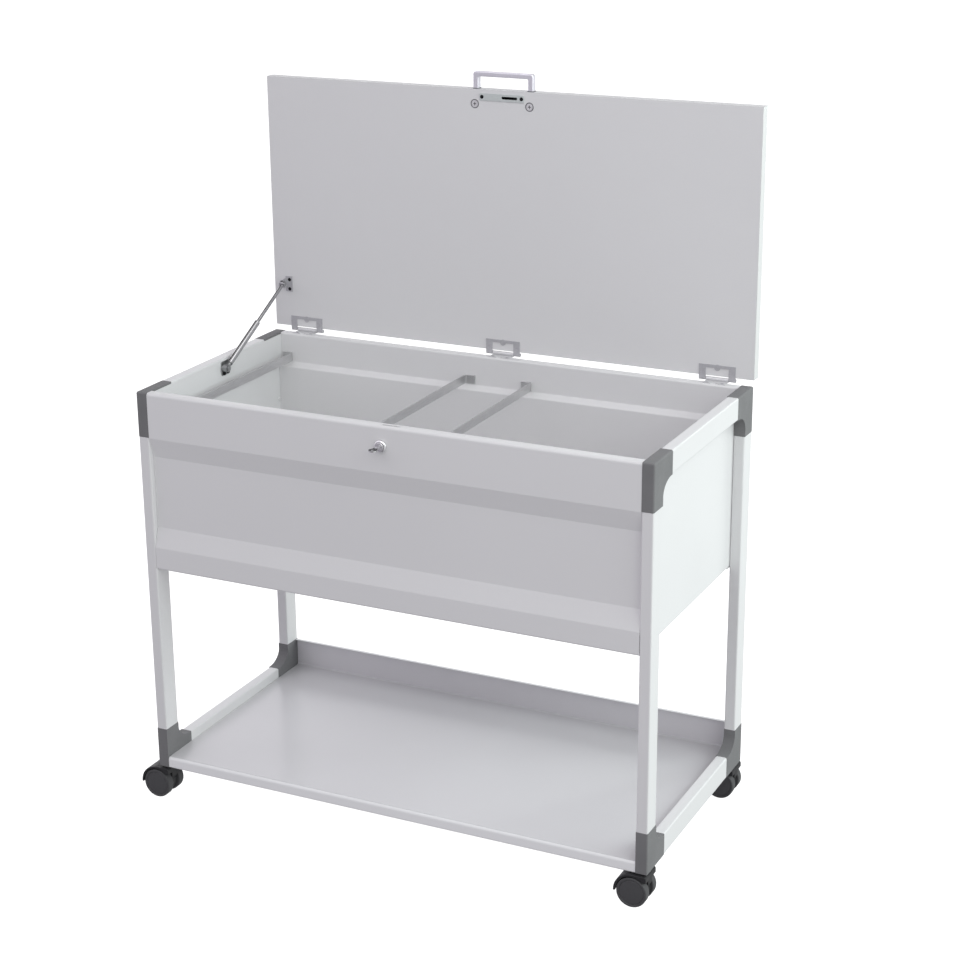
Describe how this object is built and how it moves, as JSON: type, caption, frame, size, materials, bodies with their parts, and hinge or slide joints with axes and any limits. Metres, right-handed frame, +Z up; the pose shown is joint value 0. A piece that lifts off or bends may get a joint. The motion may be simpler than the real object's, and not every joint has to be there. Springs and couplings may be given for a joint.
{
  "type": "suspension file trolley",
  "caption": "Open-frame office trolley with a lockable lidded hopper for suspension files, a low shelf with a rear upstand, and swivel castors.",
  "frame": {"origin": "on the floor, at the centre of the frame's footprint", "axes": "+X to the right along the trolley's width, +Y from front to rear, +Z up; the lid's lock faces -Y"},
  "size_m": [0.9235, 0.4869, 1.1914],
  "materials": {
    "frame_paint": "light grey powder coat, satin",
    "panel_paint": "light grey powder coat, satin",
    "grey_plastic": "moulded dark grey, fine texture",
    "lid_laminate": "chipboard with a light grey melamine face",
    "lid_edge": "light edge band, satin",
    "handle_metal": "satin",
    "chrome": "polished",
    "strut_silver": "satin silver",
    "dark_steel": "blackened, satin",
    "zinc": "zinc plated",
    "rail_zinc": "zinc plated strip",
    "caster_plastic": "moulded black, satin",
    "wheel_plastic": "moulded black, satin"
  },
  "bodies": {
    "frame": {"bottom_rail_left": "frame_paint", "bottom_rail_right": "frame_paint", "caster_stems": "zinc", "file_rail_left_inner": "rail_zinc", "file_rail_left_outer": "rail_zinc", "file_rail_right_inner": "rail_zinc", "file_rail_right_outer": "rail_zinc", "frame_screws": "zinc", "front_panel": "panel_paint", "hinge_base_leaves": "zinc", "hinge_pins": "zinc", "hinge_screws": "zinc", "hopper_floor": "panel_paint", "leg_front_left": "frame_paint", "leg_front_right": "frame_paint", "leg_rear_left": "frame_paint", "leg_rear_right": "frame_paint", "lock_housing": "chrome", "lock_nut": "chrome", "lower_connector_front_left": "grey_plastic", "lower_connector_front_right": "grey_plastic", "lower_connector_rear_left": "grey_plastic", "lower_connector_rear_right": "grey_plastic", "lower_shelf": "panel_paint", "rear_panel": "panel_paint", "side_panel_left": "panel_paint", "side_panel_right": "panel_paint", "strut_wall_bracket": "dark_steel", "top_rail_left": "frame_paint", "top_rail_right": "frame_paint", "upper_connector_front_left": "grey_plastic", "upper_connector_front_right": "grey_plastic", "upper_connector_rear_left": "grey_plastic", "upper_connector_rear_right": "grey_plastic"},
    "lid": {"lid_board": "lid_laminate", "lid_edge_band": "lid_edge", "lid_handle": "handle_metal", "handle_bolts": "zinc", "handle_cross_discs": "zinc", "strike_plate": "zinc", "strut_lid_bracket": "zinc", "hinge_lid_leaves": "zinc", "lid_screws": "zinc"},
    "strut_cylinder": {"strut_cylinder": "strut_silver"},
    "strut_rod": {"strut_rod": "chrome"},
    "lock": {"lock_barrel": "chrome", "lock_cam": "chrome", "lock_key": "chrome"},
    "caster_front_left": {"caster_hood_front_left": "caster_plastic"},
    "wheels_front_left": {"caster_axle_front_left": "zinc", "caster_wheels_front_left": "wheel_plastic"},
    "caster_front_right": {"caster_hood_front_right": "caster_plastic"},
    "wheels_front_right": {"caster_axle_front_right": "zinc", "caster_wheels_front_right": "wheel_plastic"},
    "caster_rear_left": {"caster_hood_rear_left": "caster_plastic"},
    "wheels_rear_left": {"caster_axle_rear_left": "zinc", "caster_wheels_rear_left": "wheel_plastic"},
    "caster_rear_right": {"caster_hood_rear_right": "caster_plastic"},
    "wheels_rear_right": {"caster_axle_rear_right": "zinc", "caster_wheels_rear_right": "wheel_plastic"}
  },
  "joints": [
    {"name": "lid_hinge", "type": "hinge", "parent": "frame", "child": "lid", "pos_m": [0, 0.2207, 0.723], "axis": [1, 0, 0], "range_deg": [0, 90]},
    {"name": "strut_pivot", "type": "hinge", "parent": "frame", "child": "strut_cylinder", "pos_m": [-0.4156, 0.007, 0.704], "axis": [1, 0, 0], "range_deg": [-29.05, 0]},
    {"name": "strut_slide", "type": "slide", "parent": "strut_cylinder", "child": "strut_rod", "axis": [0, 0.8825, 0.4703], "range_m": [-0.08887, 0]},
    {"name": "lock_turn", "type": "hinge", "parent": "frame", "child": "lock", "pos_m": [0, -0.216, 0.6873], "axis": [0, -1, 0], "range_deg": [0, 90]},
    {"name": "swivel_front_left", "type": "hinge", "parent": "frame", "child": "caster_front_left", "pos_m": [-0.434, -0.1985, 0.045], "axis": [0, 0, 1], "continuous": true},
    {"name": "roll_front_left", "type": "hinge", "parent": "caster_front_left", "child": "wheels_front_left", "pos_m": [-0.448, -0.1985, 0.025], "axis": [0, 1, 0], "continuous": true},
    {"name": "swivel_front_right", "type": "hinge", "parent": "frame", "child": "caster_front_right", "pos_m": [0.434, -0.1985, 0.045], "axis": [0, 0, 1], "continuous": true},
    {"name": "roll_front_right", "type": "hinge", "parent": "caster_front_right", "child": "wheels_front_right", "pos_m": [0.42, -0.1985, 0.025], "axis": [0, 1, 0], "continuous": true},
    {"name": "swivel_rear_left", "type": "hinge", "parent": "frame", "child": "caster_rear_left", "pos_m": [-0.434, 0.1985, 0.045], "axis": [0, 0, 1], "continuous": true},
    {"name": "roll_rear_left", "type": "hinge", "parent": "caster_rear_left", "child": "wheels_rear_left", "pos_m": [-0.448, 0.1985, 0.025], "axis": [0, 1, 0], "continuous": true},
    {"name": "swivel_rear_right", "type": "hinge", "parent": "frame", "child": "caster_rear_right", "pos_m": [0.434, 0.1985, 0.045], "axis": [0, 0, 1], "continuous": true},
    {"name": "roll_rear_right", "type": "hinge", "parent": "caster_rear_right", "child": "wheels_rear_right", "pos_m": [0.42, 0.1985, 0.025], "axis": [0, 1, 0], "continuous": true}
  ],
  "couplings": [
    {"joint": "strut_pivot", "follows": "lid_hinge", "ratio": -0.32053},
    {"joint": "strut_slide", "follows": "lid_hinge", "m_per_rad": -0.056449}
  ]
}
